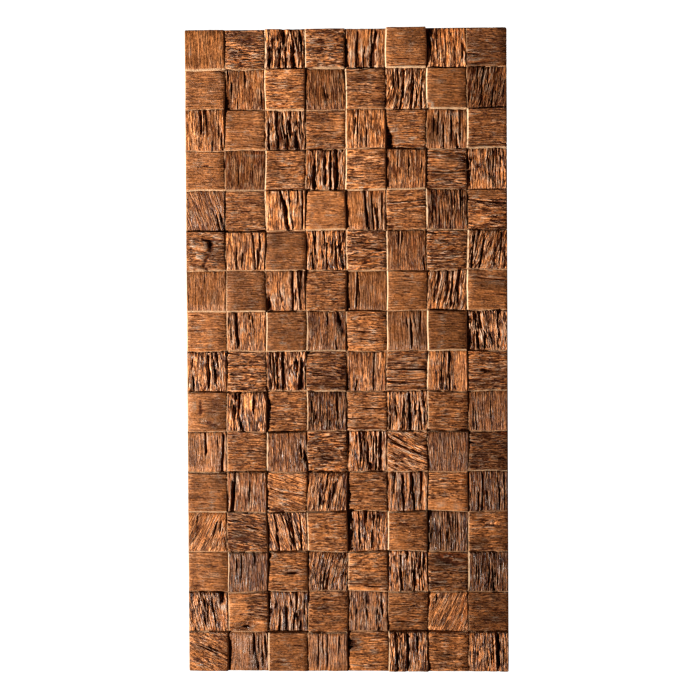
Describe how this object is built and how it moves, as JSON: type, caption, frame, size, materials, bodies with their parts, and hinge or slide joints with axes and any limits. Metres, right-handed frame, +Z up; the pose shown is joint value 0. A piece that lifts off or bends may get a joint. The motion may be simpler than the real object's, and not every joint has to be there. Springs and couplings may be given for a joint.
{
  "type": "wall panel",
  "caption": "Moulded polyurethane wall panel whose front is a basket weave of hewn timber blocks at unlike heights, on a plain flat backing slab.",
  "frame": {"origin": "middle of the flat back, where the panel meets the wall", "axes": "+Z up along the panel's long side, +Y into the wall, the carved front faces -Y"},
  "size_m": [0.6, 0.0257, 1.2],
  "materials": {
    "painted_foam": "brown timber stain over rigid foam, darker in the grain and dry-brushed lighter on the arrises, low sheen"
  },
  "bodies": {
    "root": {"wall_panel": "painted_foam"}
  },
  "joints": []
}
